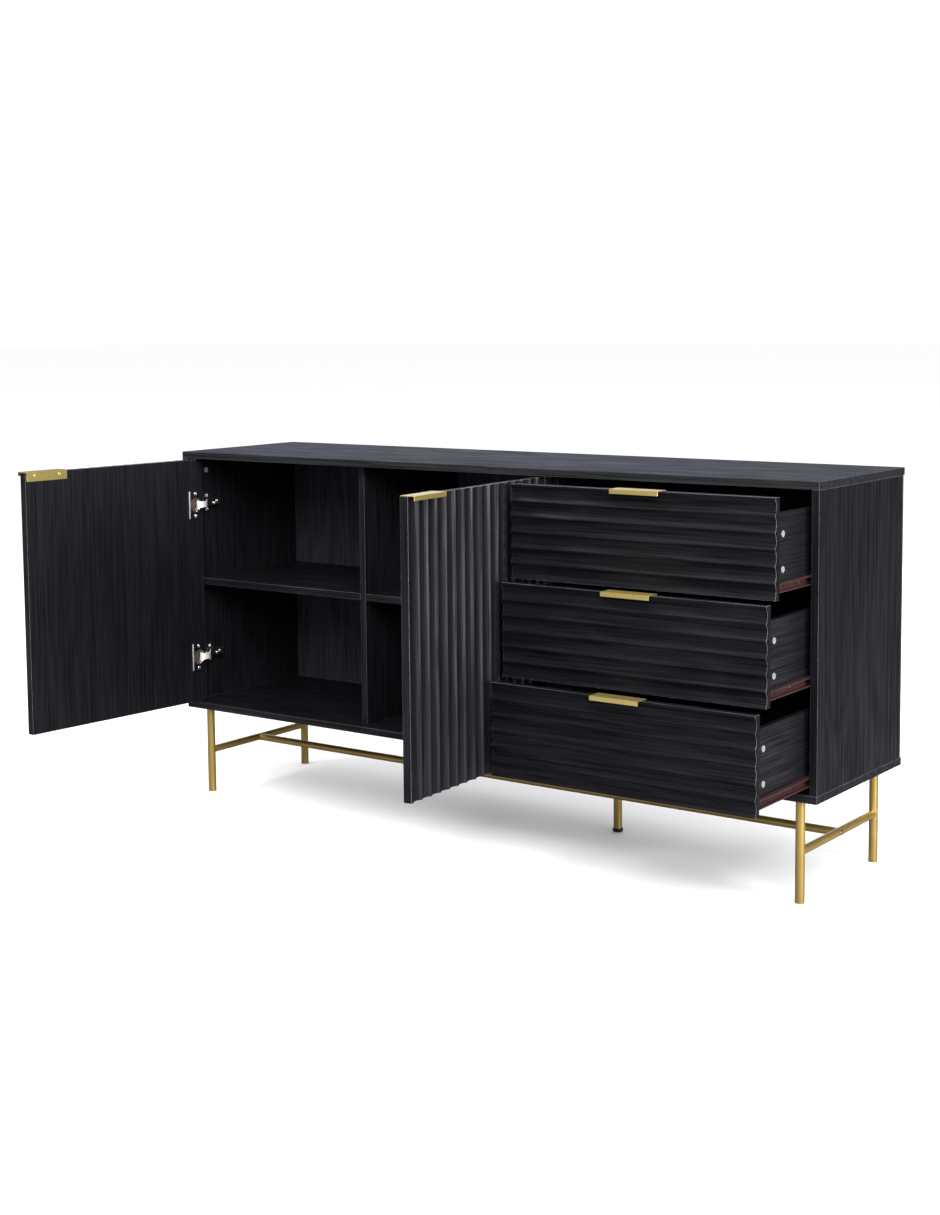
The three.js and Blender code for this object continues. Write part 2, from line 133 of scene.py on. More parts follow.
def melamine_film(name, grain, dark=FILM_DARK, light=FILM_LIGHT, roughness=FILM_ROUGHNESS,
                  emboss=0.45, sheen=FILM_SHEEN):
    """Black wood-grain melamine film whose grain runs along one axis. A noise field drawn out along the
    grain is cut into contour lines, which close into pointed cathedral figures as flat-sawn ash does.
    Short streaks of a finer noise are its pores: they catch the light as hair lines in the gloss."""
    material, shader = blank_material(name)
    place = add_node(material, "ShaderNodeTexCoord").outputs["Object"]

    def stretched(across, along):
        scale = [1 / across] * 3
        scale["xyz".index(grain)] = 1 / along
        mapping = add_node(material, "ShaderNodeMapping", {}, {"Vector": place, "Scale": scale})
        return mapping.outputs[0]

    field = add_node(material, "ShaderNodeTexNoise", {},
                     {"Vector": stretched(FIGURE_WIDTH, FIGURE_LENGTH), "Scale": 1.0,
                      "Detail": 2.0, "Roughness": 0.35})
    lines = add_node(material, "ShaderNodeMath", {"operation": "MULTIPLY"},
                     {0: field.outputs[0], 1: FIGURE_LINES * math.pi * 2})
    figure = add_node(material, "ShaderNodeMath", {"operation": "SINE"}, {0: lines.outputs[0]})
    pores = add_node(material, "ShaderNodeTexNoise", {},
                     {"Vector": stretched(PORE_WIDTH, PORE_LENGTH), "Scale": 1.0,
                      "Detail": 3.0, "Roughness": 0.55, "Distortion": 0.5})
    clouds = add_node(material, "ShaderNodeTexNoise", {},
                      {"Vector": stretched(CLOUD_WIDTH, CLOUD_LENGTH), "Scale": 1.0, "Detail": 1.0})
    figure_share = add_node(material, "ShaderNodeMath", {"operation": "MULTIPLY_ADD"},
                            {0: figure.outputs[0], 1: FIGURE_SHARE, 2: pores.outputs[0]})
    grain_value = add_node(material, "ShaderNodeMath", {"operation": "MULTIPLY_ADD"},
                           {0: clouds.outputs[0], 1: CLOUD_SHARE, 2: figure_share.outputs[0]})
    tone = add_node(material, "ShaderNodeMapRange", {},
                    {"Value": grain_value.outputs[0], "From Min": 0.40, "From Max": 0.80})
    film = add_node(material, "ShaderNodeMix", {"data_type": "RGBA"},
                    {0: tone.outputs[0], 6: colour(dark), 7: colour(light)})
    gloss = add_node(material, "ShaderNodeMapRange", {},
                     {"Value": tone.outputs[0], "To Min": roughness + GLOSS_SWING,
                      "To Max": roughness - GLOSS_SWING})
    # Between the pores the film is as smooth as its press plate, so the streaks differ most in sheen.
    streaks = add_node(material, "ShaderNodeMapRange", {},
                       {"Value": pores.outputs[0], "From Min": 0.36, "From Max": 0.64,
                        "To Min": sheen * 0.45, "To Max": sheen * 1.65})
    relief = add_node(material, "ShaderNodeBump", {},
                      {"Height": grain_value.outputs[0], "Strength": emboss, "Distance": EMBOSS_DEPTH})
    material.node_tree.links.new(film.outputs[2], shader.inputs["Base Color"])
    material.node_tree.links.new(gloss.outputs[0], shader.inputs["Roughness"])
    material.node_tree.links.new(relief.outputs[0], shader.inputs["Normal"])
    shader.inputs["IOR"].default_value = 1.45
    material.node_tree.links.new(streaks.outputs[0], shader.inputs["Specular IOR Level"])
    return material


def soften(piece, width, segments=2, angle=30.0, edge_material=None):
    """Joins a piece's loose faces and rounds every edge sharper than angle, in degrees, by width. The
    rounding takes the edge material where one is given."""
    if piece.data.has_custom_normals:
        piece.data.attributes.remove(piece.data.attributes["custom_normal"])
    piece.data.polygons.foreach_set("use_smooth", np.ones(len(piece.data.polygons), bool))
    weld = piece.modifiers.new("joined", "WELD")
    weld.merge_threshold = 1e-5
    bevel = piece.modifiers.new("soft_edges", "BEVEL")
    bevel.width = width
    bevel.segments = segments
    bevel.limit_method = "ANGLE"
    bevel.angle_limit = math.radians(angle)
    bevel.harden_normals = True
    if edge_material:
        piece.data.materials.append(edge_material)
        bevel.material = 1


def dress(piece, material):
    """Gives a piece one material for all its faces."""
    piece.data.materials.clear()
    piece.data.materials.append(material)


film_upright = melamine_film("melamine_film_upright_grain", "z")
film_lengthwise = melamine_film("melamine_film_lengthwise_grain", "x")
film_crosswise = melamine_film("melamine_film_crosswise_grain", "y")
# The top's film has a coarser texture, so it mirrors less sharply.
film_top = melamine_film("melamine_film_coarse_pressed", "x", roughness=0.58, sheen=0.41)
# The right side panel carries the plainest part of the print.
film_plain = melamine_film("melamine_film_plain", "z", dark="#0a0a0d", light="#121216",
                           emboss=0.15, sheen=0.18)
# The back is thin hardboard covered with printed paper, duller than the film; its paler colour is partly
# the paper's and partly painted light, standing in for the light that reaches into the bays.
back_paper_and_painted_light = melamine_film("hardboard_paper_and_painted_light", "z", dark="#222227", light="#333339",
                           roughness=0.6)
# Along a corner the film is bent or trimmed, which burnishes it to a fine pale line; that line's paleness
# is also a painted highlight.
film_corner_burnish_and_highlight = melamine_film("melamine_film_burnished_corner_painted_highlight", "x", dark="#2c2c31", light="#46464c",
                            roughness=CORNER_ROUGHNESS)
BOARD_FILMS = {
    "top_panel": film_top, "bottom_panel": film_lengthwise,
    "shelf_left": film_lengthwise, "shelf_right": film_lengthwise, "back_panel": back_paper_and_painted_light,
    "side_panel_left": film_upright, "side_panel_right": film_plain,
    "partition_centre": film_upright, "partition_drawers": film_upright,
}
for board_name, film in BOARD_FILMS.items():
    dress(cad_nodes[board_name], film)
    soften(cad_nodes[board_name], BOARD_EDGE, edge_material=film_corner_burnish_and_highlight)


# ---------------------------------------------------------------- fluted fronts
# Doors and drawer fronts routed from fibreboard with round-bottomed flutes, then wrapped with the same
# film under vacuum. The grain follows the flutes, upright on the doors and level on the drawers.
FRONT_EDGE = 0.0010
FLUTE_MEETING = 60.0  # degrees; where two flutes meet is blunter than this and stays as it is
# Round the outside of a front the film is pulled tight, and its pale ground shows through; the pale
# rounding is also a painted highlight.
wrapped_corner_ground_and_highlight = melamine_film("melamine_film_wrapped_corner", "x", dark="#55555b", light="#8f8f96",
                               roughness=CORNER_ROUGHNESS)
# The drawers' film is a darker and less glossy copy of the level-grain film: its darker colour is painted
# shade.
film_painted_shade = melamine_film("melamine_film_stretched_level_grain", "x", dark="#08080b",
                               light="#141418", sheen=0.14)
FRONT_GRAINS = {"door_left": film_upright, "door_right": film_upright}
for level in ("top", "middle", "bottom"):
    FRONT_GRAINS[f"drawer_front_{level}"] = film_painted_shade
for front_name, film in FRONT_GRAINS.items():
    dress(cad_nodes[front_name], film)
    soften(cad_nodes[front_name], FRONT_EDGE, angle=FLUTE_MEETING, edge_material=wrapped_corner_ground_and_highlight)


# ---------------------------------------------------------------- drawer boxes
# Sides, back and bottom of thinner board in the same film. Each side is drawn up to the front by two
# cams, hidden under moulded caps that are pushed into their bores.
BOX_EDGE = 0.0004
CAP_RADIUS = 0.0062
CAP_RISE = 0.0008
CAP_SUNK = 0.0004
CAP_BEHIND_FRONT = 0.034
CAP_FROM_MIDDLE = 0.032  # up and down from the middle of the side's height


def turned_shell(profile, centre, axis, outline=None, cross=None, sides=32):
    """Points and faces of a closed turned shell. The profile is (radius, height) pairs from pole to pole;
    each is carried round the axis as radius times (cos, sin) of evenly spaced angles, times the outline's
    factor at that angle where there is one, and the poles close it as fans. cross = (half width, reach,
    depth) sinks a cross-shaped recess: heights within half width of either arm, out to reach, drop by
    depth."""
    axis = np.asarray(axis, float) / np.linalg.norm(axis)
    # Any direction that is well away from the axis will do to measure the turn from.
    side_way = np.cross(axis, (0.0, 0.0, 1.0) if abs(axis[2]) < 0.9 else (0.0, 1.0, 0.0))
    side_way /= np.linalg.norm(side_way)
    third_way = np.cross(axis, side_way)
    turn = np.linspace(0, 2 * math.pi, sides, endpoint=False)
    profile = np.asarray(profile, float)
    reach = profile[1:-1, 0, None] * (np.ones(sides) if outline is None else outline(turn))
    height = np.repeat(profile[1:-1, 1, None], sides, axis=1)
    poles = profile[[0, -1], 1].copy()
    across, along = reach * np.cos(turn), reach * np.sin(turn)
    if cross:
        half_width, arm, depth = cross
        height -= depth * ((np.minimum(abs(across), abs(along)) < half_width) & (reach < arm))
        poles[1] -= depth
    rows = across[..., None] * side_way + along[..., None] * third_way + height[..., None] * axis
    points = np.concatenate([rows.reshape(-1, 3), poles[:, None] * axis]) + np.asarray(centre)
    return points, ring_faces(len(profile) - 2, sides)


def ring_faces(rings, sides):
    """Faces of a closed shell whose points are rings, one after another, and then two poles: four-sided
    faces between neighbouring rings, and triangles from the first and the last ring to their pole."""
    column = np.arange(sides)
    following = (column + 1) % sides
    start = (np.arange(rings - 1) * sides)[:, None]
    quads = np.stack([start + column, start + following,
                      start + sides + following, start + sides + column], axis=-1).reshape(-1, 4)
    first, last = rings * sides, rings * sides + 1
    end = (rings - 1) * sides
    low_fan = np.stack([np.full(sides, first), following, column], axis=-1)
    high_fan = np.stack([np.full(sides, last), end + column, end + following], axis=-1)
    return quads.tolist() + low_fan.tolist() + high_fan.tolist()


def piece_of(name, shells, material, body=None):
    """One object made of closed shells, each its points and faces, that rides on a body if one is given."""
    points, faces, count = [], [], 0
    for shell_points, shell_faces in shells:
        faces += [[count + corner for corner in face] for face in shell_faces]
        points.append(shell_points)
        count += len(shell_points)
    mesh = bpy.data.meshes.new(name)
    mesh.from_pydata(np.concatenate(points).tolist(), [], faces)
    mesh.validate()
    mesh.polygons.foreach_set("use_smooth", np.ones(len(mesh.polygons), bool))
    piece = bpy.data.objects.new(name, mesh)
    bpy.context.scene.collection.objects.link(piece)
    dress(piece, material)
    if body:
        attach(piece, body)
    return piece


def mottled(name, dark, light, mottle, roughness, metallic=0.0):
    """A plain material whose colour drifts between two shades over the mottle's size, in metres."""
    material, shader = blank_material(name)
    place = add_node(material, "ShaderNodeTexCoord").outputs["Object"]
    drift = add_node(material, "ShaderNodeTexNoise", {}, {"Vector": place, "Scale": 1 / mottle})
    tone = add_node(material, "ShaderNodeMix", {"data_type": "RGBA"},
                    {0: drift.outputs[0], 6: colour(dark), 7: colour(light)})
    material.node_tree.links.new(tone.outputs[2], shader.inputs["Base Color"])
    shader.inputs["Roughness"].default_value = roughness
    shader.inputs["Metallic"].default_value = metallic
    return material


# Injection moulded, with the dull even skin that a spark-eroded mould leaves.
moulded_caps = mottled("polypropylene_cap_moulded", "#767579", "#8a898d", mottle=0.0011, roughness=0.45)

# Half section of a cap, from its flat underside over the rounded rim to a shallow dish in the middle.
CAP_PROFILE = [(0, -CAP_SUNK), (CAP_RADIUS * 0.97, -CAP_SUNK), (CAP_RADIUS, 0.0),
               (CAP_RADIUS, CAP_RISE * 0.5), (CAP_RADIUS * 0.95, CAP_RISE * 0.9),
               (CAP_RADIUS * 0.86, CAP_RISE), (CAP_RADIUS * 0.45, CAP_RISE),
               (CAP_RADIUS * 0.36, CAP_RISE * 0.55), (0, CAP_RISE * 0.5)]
for level in ("top", "middle", "bottom"):
    for part in (f"drawer_side_{level}_left", f"drawer_side_{level}_right", f"drawer_bottom_{level}"):
        dress(cad_nodes[part], film_crosswise)
        soften(cad_nodes[part], BOX_EDGE)
    dress(cad_nodes[f"drawer_back_{level}"], film_lengthwise)
    soften(cad_nodes[f"drawer_back_{level}"], BOX_EDGE)
    for hand, way in (("left", -1), ("right", 1)):
        low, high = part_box(f"drawer_side_{level}_{hand}")
        face_x = low.x if way < 0 else high.x
        middle_z = (low.z + high.z) / 2
        cap_y = low.y + CAP_BEHIND_FRONT
        caps = [turned_shell(CAP_PROFILE, (face_x, cap_y, middle_z + step), (way, 0, 0))
                for step in (CAP_FROM_MIDDLE, -CAP_FROM_MIDDLE)]
        piece_of(f"cam_caps_{level}_{hand}", caps, moulded_caps, f"drawer_{level}")

# One such cap shows inside the case, under the top at the hinge side.
side_low, side_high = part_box("side_panel_left")
CASE_CAP_IN = 0.0615
CASE_CAP_DOWN = 0.0305
case_cap_place = (side_high.x, side_low.y + CASE_CAP_IN, side_high.z - CASE_CAP_DOWN)
case_cap = turned_shell(CAP_PROFILE, case_cap_place, (1, 0, 0))
piece_of("cam_cap_case", [case_cap], moulded_caps, "case")


# ---------------------------------------------------------------- drawer runners
# Rolled steel channels, one screwed along the drawer side and one to the case, with a dark
# reddish-brown dip coating that leaves them slightly glossy.
RUNNER_COAT = "#33201e"
RUNNER_COAT_WORN = "#523532"
ROLL_MARK_WIDTH = 0.0025  # m, the streaks that the forming rolls leave under the coating
ROLL_MARK_LENGTH = 0.04
RUNNER_EDGE = 0.0002
runner_coat, runner_shader = blank_material("steel_channel_dip_coated")
runner_place = add_node(runner_coat, "ShaderNodeTexCoord").outputs["Object"]
roll_mark_scale = (1 / ROLL_MARK_WIDTH, 1 / ROLL_MARK_LENGTH, 1 / ROLL_MARK_WIDTH)
roll_marks = add_node(runner_coat, "ShaderNodeMapping", {},
                      {"Vector": runner_place, "Scale": roll_mark_scale})
runner_noise = add_node(runner_coat, "ShaderNodeTexNoise", {},
                        {"Vector": roll_marks.outputs[0], "Scale": 1.0, "Detail": 3.0})
runner_tone = add_node(runner_coat, "ShaderNodeMix", {"data_type": "RGBA"},
                       {0: runner_noise.outputs[0], 6: colour(RUNNER_COAT), 7: colour(RUNNER_COAT_WORN)})
runner_coat.node_tree.links.new(runner_tone.outputs[2], runner_shader.inputs["Base Color"])
runner_shader.inputs["Metallic"].default_value = 0.4
runner_shader.inputs["Roughness"].default_value = 0.38
for level in ("top", "middle", "bottom"):
    for hand in ("left", "right"):
        for rail in (f"drawer_rail_{level}_{hand}", f"case_rail_{level}_{hand}"):
            dress(cad_nodes[rail], runner_coat)
            soften(cad_nodes[rail], RUNNER_EDGE, segments=1)

# The holes punched through each drawer channel show the dark board behind them, and their near-black is
# also painted shade inside the holes. They are thin insets, each given as its distance behind the channel's
# front end and its half length and half height.
RUNNER_SHEET = 0.0012
UPRIGHT_HOLE = (0.0024, 0.0050)
LEVEL_HOLE = (0.0060, 0.0032)
RUNNER_HOLES = [(0.008, UPRIGHT_HOLE), (0.017, UPRIGHT_HOLE), (0.033, LEVEL_HOLE), (0.047, UPRIGHT_HOLE),
                (0.150, LEVEL_HOLE), (0.230, UPRIGHT_HOLE), (0.262, LEVEL_HOLE), (0.300, UPRIGHT_HOLE)]
INSET_PROFILE = [(0, -0.0003), (1, -0.0003), (1, 0.0001), (0.9, 0.00015), (0, 0.00015)]
RUNNER_SCREWS = (0.092, 0.200, 0.318)
# A pan-head screw: half section, cross recess as half width, reach and depth, and sides enough for it.
SCREW_PROFILE = [(0, -0.0006), (0.0040, -0.0006), (0.0040, 0.0002), (0.0036, 0.0011), (0.0027, 0.0016),
                 (0.0024, 0.0017), (0.0020, 0.0018), (0.0014, 0.0018), (0.0008, 0.0019), (0.0004, 0.0019),
                 (0, 0.0019)]
SCREW_CROSS = (0.00065, 0.0025, 0.0011)
SCREW_SIDES = 48


def oval(half_wide, half_high):
    """The outline of an ellipse: one over the length of (cos / half width, sin / half height)."""
    return lambda turn: 1 / np.hypot(np.cos(turn) / half_wide, np.sin(turn) / half_high)


# Painted shade: the holes' insets are darker than the board alone.
hole_shade = mottled("board_and_painted_shade_in_punched_holes", "#060505", "#120d0c",
                     mottle=0.0008, roughness=0.8)
for level in ("top", "middle", "bottom"):
    for hand, way in (("left", -1), ("right", 1)):
        low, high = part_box(f"drawer_rail_{level}_{hand}")
        web_x = high.x - RUNNER_SHEET if way < 0 else low.x + RUNNER_SHEET
        middle_z = (low.z + high.z) / 2
        holes = [turned_shell(INSET_PROFILE, (web_x, low.y + behind, middle_z), (way, 0, 0),
                              oval(half_long, half_high))
                 for behind, (half_long, half_high) in RUNNER_HOLES]
        piece_of(f"runner_holes_{level}_{hand}", holes, hole_shade, f"drawer_{level}")
        screws = [turned_shell(SCREW_PROFILE, (web_x, low.y + behind, middle_z), (way, 0, 0),
                               cross=SCREW_CROSS, sides=SCREW_SIDES) for behind in RUNNER_SCREWS]
        piece_of(f"runner_screws_{level}_{hand}", screws, runner_coat, f"drawer_{level}")


# ---------------------------------------------------------------- tubular base
# Round steel tube, welded into two frames, bolted to a long stretcher and powder coated in satin
# gold. The coating flows into a faint orange peel.
TUBE_GOLD = "#cfb06a"
TUBE_GOLD_DEEP = "#bfa159"
TUBE_CLOUDS = 35.0  # to the metre
ORANGE_PEEL = 900.0
PEEL_DEPTH = 0.0002
PEEL_SHARE = 0.12
TUBE_GLOSS = (0.36, 0.46)  # roughness, from the deeper to the paler clouds
TUBE_EDGE = 0.0005
FOOT_EDGE = 0.0004
tube_coat, tube_shader = blank_material("steel_tube_gold_powder_coat")
tube_place = add_node(tube_coat, "ShaderNodeTexCoord").outputs["Object"]
tube_cloud = add_node(tube_coat, "ShaderNodeTexNoise", {},
                      {"Vector": tube_place, "Scale": TUBE_CLOUDS, "Detail": 3.0})
tube_orange_peel = add_node(tube_coat, "ShaderNodeTexNoise", {},
                            {"Vector": tube_place, "Scale": ORANGE_PEEL})
tube_tone = add_node(tube_coat, "ShaderNodeMix", {"data_type": "RGBA"},
                     {0: tube_cloud.outputs[0], 6: colour(TUBE_GOLD_DEEP), 7: colour(TUBE_GOLD)})
tube_gloss = add_node(tube_coat, "ShaderNodeMapRange", {},
                      {"Value": tube_cloud.outputs[0],
                       "To Min": TUBE_GLOSS[0], "To Max": TUBE_GLOSS[1]})
tube_relief = add_node(tube_coat, "ShaderNodeBump", {},
                       {"Height": tube_orange_peel.outputs[0],
                        "Strength": PEEL_SHARE, "Distance": PEEL_DEPTH})
tube_coat.node_tree.links.new(tube_tone.outputs[2], tube_shader.inputs["Base Color"])
tube_coat.node_tree.links.new(tube_gloss.outputs[0], tube_shader.inputs["Roughness"])
tube_coat.node_tree.links.new(tube_relief.outputs[0], tube_shader.inputs["Normal"])
tube_shader.inputs["Metallic"].default_value = 0.9
BASE_TUBES = ["leg_front_left", "leg_front_right", "leg_rear_left", "leg_rear_right",
              "cross_tube_left", "cross_tube_right", "stretcher", "support_leg"]
for tube_name in BASE_TUBES:
    dress(cad_nodes[tube_name], tube_coat)
    soften(cad_nodes[tube_name], TUBE_EDGE)

# A bolt through each cross tube holds the long stretcher's end; its domed head shows outside.
BOLT_PROFILE = [(0, -0.003), (0.0045, -0.003), (0.0045, 0.0002), (0.0042, 0.0011), (0.0034, 0.0018),
                (0.0024, 0.0022), (0.0012, 0.0024), (0, 0.0024)]
bolt_zinc = mottled("steel_bolt_yellow_zinc_plated", "#8f7a48", "#ac955c",
                    mottle=0.002, roughness=0.3, metallic=1.0)
for hand, way in (("left", -1), ("right", 1)):
    low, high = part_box(f"cross_tube_{hand}")
    bolt_x = low.x if way < 0 else high.x
    bolt_place = (bolt_x, (low.y + high.y) / 2, (low.z + high.z) / 2)
    bolt = turned_shell(BOLT_PROFILE, bolt_place, (way, 0, 0))
    piece_of(f"stretcher_bolt_{hand}", [bolt], bolt_zinc, "case")

# The middle leg stands on a moulded plastic glide.
moulded_foot = mottled("polyethylene_foot_moulded", "#0c0b0b", "#191715", mottle=0.0014, roughness=0.5)
dress(cad_nodes["support_foot"], moulded_foot)
soften(cad_nodes["support_foot"], FOOT_EDGE)


# ---------------------------------------------------------------- handles
# Edge pulls folded from sheet, satin gold, hooked over the top edge of each front and held by
# two small countersunk screws behind it.
HANDLE_GOLD = "#efd885"
HANDLE_GOLD_DEEP = "#dcc473"
HANDLE_GRAINS = 260.0  # to the metre
HANDLE_GLOSS = (0.28, 0.40)
HANDLE_EDGE = 0.0005
handle_gold, handle_shader = blank_material("aluminium_sheet_gold_anodised")
handle_place = add_node(handle_gold, "ShaderNodeTexCoord").outputs["Object"]
handle_grain = add_node(handle_gold, "ShaderNodeTexNoise", {},
                        {"Vector": handle_place, "Scale": HANDLE_GRAINS, "Detail": 2.0})
handle_tone = add_node(handle_gold, "ShaderNodeMix", {"data_type": "RGBA"},
                       {0: handle_grain.outputs[0], 6: colour(HANDLE_GOLD_DEEP), 7: colour(HANDLE_GOLD)})
handle_gloss = add_node(handle_gold, "ShaderNodeMapRange", {},
                        {"Value": handle_grain.outputs[0],
                         "To Min": HANDLE_GLOSS[0], "To Max": HANDLE_GLOSS[1]})
handle_gold.node_tree.links.new(handle_tone.outputs[2], handle_shader.inputs["Base Color"])
handle_gold.node_tree.links.new(handle_gloss.outputs[0], handle_shader.inputs["Roughness"])
handle_shader.inputs["Metallic"].default_value = 0.9
for handle_name in ("handle_door_left", "handle_door_right", "handle_drawer_top",
                    "handle_drawer_middle", "handle_drawer_bottom"):
    dress(cad_nodes[handle_name], handle_gold)
    soften(cad_nodes[handle_name], HANDLE_EDGE)

# The screws sit in the flange that hangs behind the front.
HANDLE_SCREW_SPREAD = 0.0325
HANDLE_SCREW_DOWN = 0.008
HANDLE_FLANGE_FACE = 0.0102  # from a door's pivot to the flange's outer face, through the door
HANDLE_SCREW_PROFILE = [(0, -0.0008), (0.0031, -0.0008), (0.0031, 0.0001), (0.0028, 0.0005),
                        (0.0022, 0.0008), (0.0019, 0.0009), (0.0014, 0.0009), (0.0009, 0.0010),
                        (0.0005, 0.0010), (0, 0.0010)]
HANDLE_SCREW_CROSS = (0.0005, 0.0020, 0.0007)
hinge_joints = {joint["name"]: joint for joint in frame["record"]["behaviour"]["joints"]}


def door_way(hand, along=0.0, inward=0.0):
    """A level direction on an open door: along runs from its hinge edge to its free edge and inward
    from its fluted face to its inner face. Both turn about the pivot by the angle the door stands open."""
    side = 1 if hand == "left" else -1
    opened = -side * math.radians(hinge_joints[f"door_{hand}_hinge"]["range_deg"][1])
    return np.array([side * along * math.cos(opened) - inward * math.sin(opened),
                     side * along * math.sin(opened) + inward * math.cos(opened), 0.0])


def door_place(hand, along, inward, height):
    """The point on an open door that lies along and inward of its pivot, at that height."""
    pivot = hinge_joints[f"door_{hand}_hinge"]["pos_m"]
    return np.array([pivot[0], pivot[1], height]) + door_way(hand, along, inward)


for hand in ("left", "right"):
    low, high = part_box(f"handle_door_{hand}")
    from_pivot = np.array(low + high) / 2 - np.array(hinge_joints[f"door_{hand}_hinge"]["pos_m"])
    middle = from_pivot @ door_way(hand, along=1.0)
    screw_z = high.z - HANDLE_SCREW_DOWN
    screw_places = [door_place(hand, middle + step, HANDLE_FLANGE_FACE, screw_z)
                    for step in (-HANDLE_SCREW_SPREAD, HANDLE_SCREW_SPREAD)]
    screws = [turned_shell(HANDLE_SCREW_PROFILE, place, door_way(hand, inward=1.0),
                           cross=HANDLE_SCREW_CROSS, sides=SCREW_SIDES) for place in screw_places]
    piece_of(f"handle_screws_door_{hand}", screws, handle_gold, f"door_{hand}")
for level in ("top", "middle", "bottom"):
    low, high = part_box(f"handle_drawer_{level}")
    middle, screw_z = (low.x + high.x) / 2, high.z - HANDLE_SCREW_DOWN
    screws = [turned_shell(HANDLE_SCREW_PROFILE, (middle + step, high.y, screw_z), (0, 1, 0),
                           cross=HANDLE_SCREW_CROSS, sides=SCREW_SIDES)
              for step in (-HANDLE_SCREW_SPREAD, HANDLE_SCREW_SPREAD)]
    piece_of(f"handle_screws_drawer_{level}", screws, handle_gold, f"drawer_{level}")


# ---------------------------------------------------------------- hinges
# Concealed hinges of nickel-plated pressed steel: a cup let into the door, an arm screwed to the case,
# and a waisted link that arches from one to the other over the door's edge. A moulded damper lies in
# the cup.
NICKEL = "#e4e2dd"
NICKEL_DULL = "#c9c6c0"
NICKEL_GRAINS = 180.0  # to the metre
NICKEL_GLOSS = (0.16, 0.30)
CUP_AXIS_ALONG = 0.01146  # from the pivot towards the door's free edge
CUP_FACE = 0.0112  # and from the pivot inward
CUP_SCREW_SPREAD = 0.0255
HINGE_EDGE = 0.0009
# The flange's edge nearest the door's middle is rolled into an upright lip with an oval section.
LIP_HALF = 0.0315
LIP_ALONG = 0.0280
LIP_INWARD = 0.0103
LIP_SECTION = (0.0012, 0.0022)
LIP_END = 0.001
DAMPER_RADIUS = 0.0148
DAMPER_CUT = 0.12  # the damper's straight side lies this share of its radius from its middle
DAMPER_SIDES = 64
# Places on the arm, its wings and the link: off the board, behind the case's front edge and up.
ARM_SCREWS = ((0.0126, 0.072, -0.0012), (0.0118, 0.082, 0.0018))
WING_SCREWS = ((0.0022, 0.059, 0.0160), (0.0022, 0.059, -0.0160))
LINK_PATH = np.array([[0.022, 0.006], [0.040, 0.001], [0.032, 0.030], [0.0180, 0.0435]])
LINK_WAIST = 0.0070
LINK_FLARE = 0.0028
LINK_SHEET = 0.0012
LINK_EDGE = 0.0003
LINK_STATIONS = 28
nickel_plate, nickel_shader = blank_material("steel_nickel_plated")
nickel_place = add_node(nickel_plate, "ShaderNodeTexCoord").outputs["Object"]
nickel_noise = add_node(nickel_plate, "ShaderNodeTexNoise", {},
                        {"Vector": nickel_place, "Scale": NICKEL_GRAINS})
nickel_tone = add_node(nickel_plate, "ShaderNodeMix", {"data_type": "RGBA"},
                       {0: nickel_noise.outputs[0], 6: colour(NICKEL_DULL), 7: colour(NICKEL)})
nickel_gloss = add_node(nickel_plate, "ShaderNodeMapRange", {},
                        {"Value": nickel_noise.outputs[0],
                         "To Min": NICKEL_GLOSS[0], "To Max": NICKEL_GLOSS[1]})
nickel_plate.node_tree.links.new(nickel_tone.outputs[2], nickel_shader.inputs["Base Color"])
nickel_plate.node_tree.links.new(nickel_gloss.outputs[0], nickel_shader.inputs["Roughness"])
nickel_shader.inputs["Metallic"].default_value = 1.0

# The link is zinc plated and passivated, which scatters light where the nickel mirrors it; its near-white
# colour is a painted highlight. The flange's rolled lip is zinc plated as well but duller from the rolls,
# and the damper is moulded nylon filled with glass, which mottles it.
zinc_plate = mottled("steel_zinc_plated_painted_highlight", "#e6e5e2", "#fafaf8",
                     mottle=0.0024, roughness=0.38, metallic=0.25)
rolled_zinc = mottled("steel_zinc_plated_rolled", "#8e8d92", "#a8a7ac",
                      mottle=0.004, roughness=0.5, metallic=0.3)
damper_nylon = mottled("nylon_damper_moulded", "#261c18", "#5c473b", mottle=0.003, roughness=0.45)
DAMPER_PROFILE = [(0, 0.0004), (DAMPER_RADIUS, 0.0004), (DAMPER_RADIUS, 0.0068),
                  (DAMPER_RADIUS * 0.96, 0.0076), (DAMPER_RADIUS * 0.85, 0.0080),
                  (DAMPER_RADIUS * 0.4, 0.0082), (0, 0.0082)]
LIP_PROFILE = [(0, -LIP_HALF), (0.7, -LIP_HALF), (1, LIP_END - LIP_HALF), (1, LIP_HALF - LIP_END),
               (0.7, LIP_HALF), (0, LIP_HALF)]


def link_shell(board_x, side, front_y, height):
    """A link: a Bezier curve in plan, from LINK_PATH, with a thin oblong section across it. The oblong's
    half height is the waist plus the flare times the square of the distance from the curve's middle."""
    t = np.linspace(0, 1, LINK_STATIONS)[:, None]
    weights = np.hstack([(1 - t) ** 3, 3 * t * (1 - t) ** 2, 3 * t ** 2 * (1 - t), t ** 3])
    path = weights @ LINK_PATH
    forward = np.gradient(path, axis=0)
    forward /= np.linalg.norm(forward, axis=1, keepdims=True)
    outward = np.stack([forward[:, 1], -forward[:, 0]], axis=1) * LINK_SHEET / 2
    half = (LINK_WAIST + LINK_FLARE * (2 * t[:, 0] - 1) ** 2)[:, None] * np.array([1, 1, -1, -1])
    plan = path[:, None] + outward[:, None] * np.array([1, -1, -1, 1])[None, :, None]
    corners = np.stack([board_x + side * plan[..., 0], front_y + plan[..., 1], height + half], axis=-1)
    ends = corners[[0, -1]].mean(axis=1)
    faces = ring_faces(LINK_STATIONS, 4)
    return (np.concatenate([corners.reshape(-1, 3), ends]),
            faces if side > 0 else [face[::-1] for face in faces])


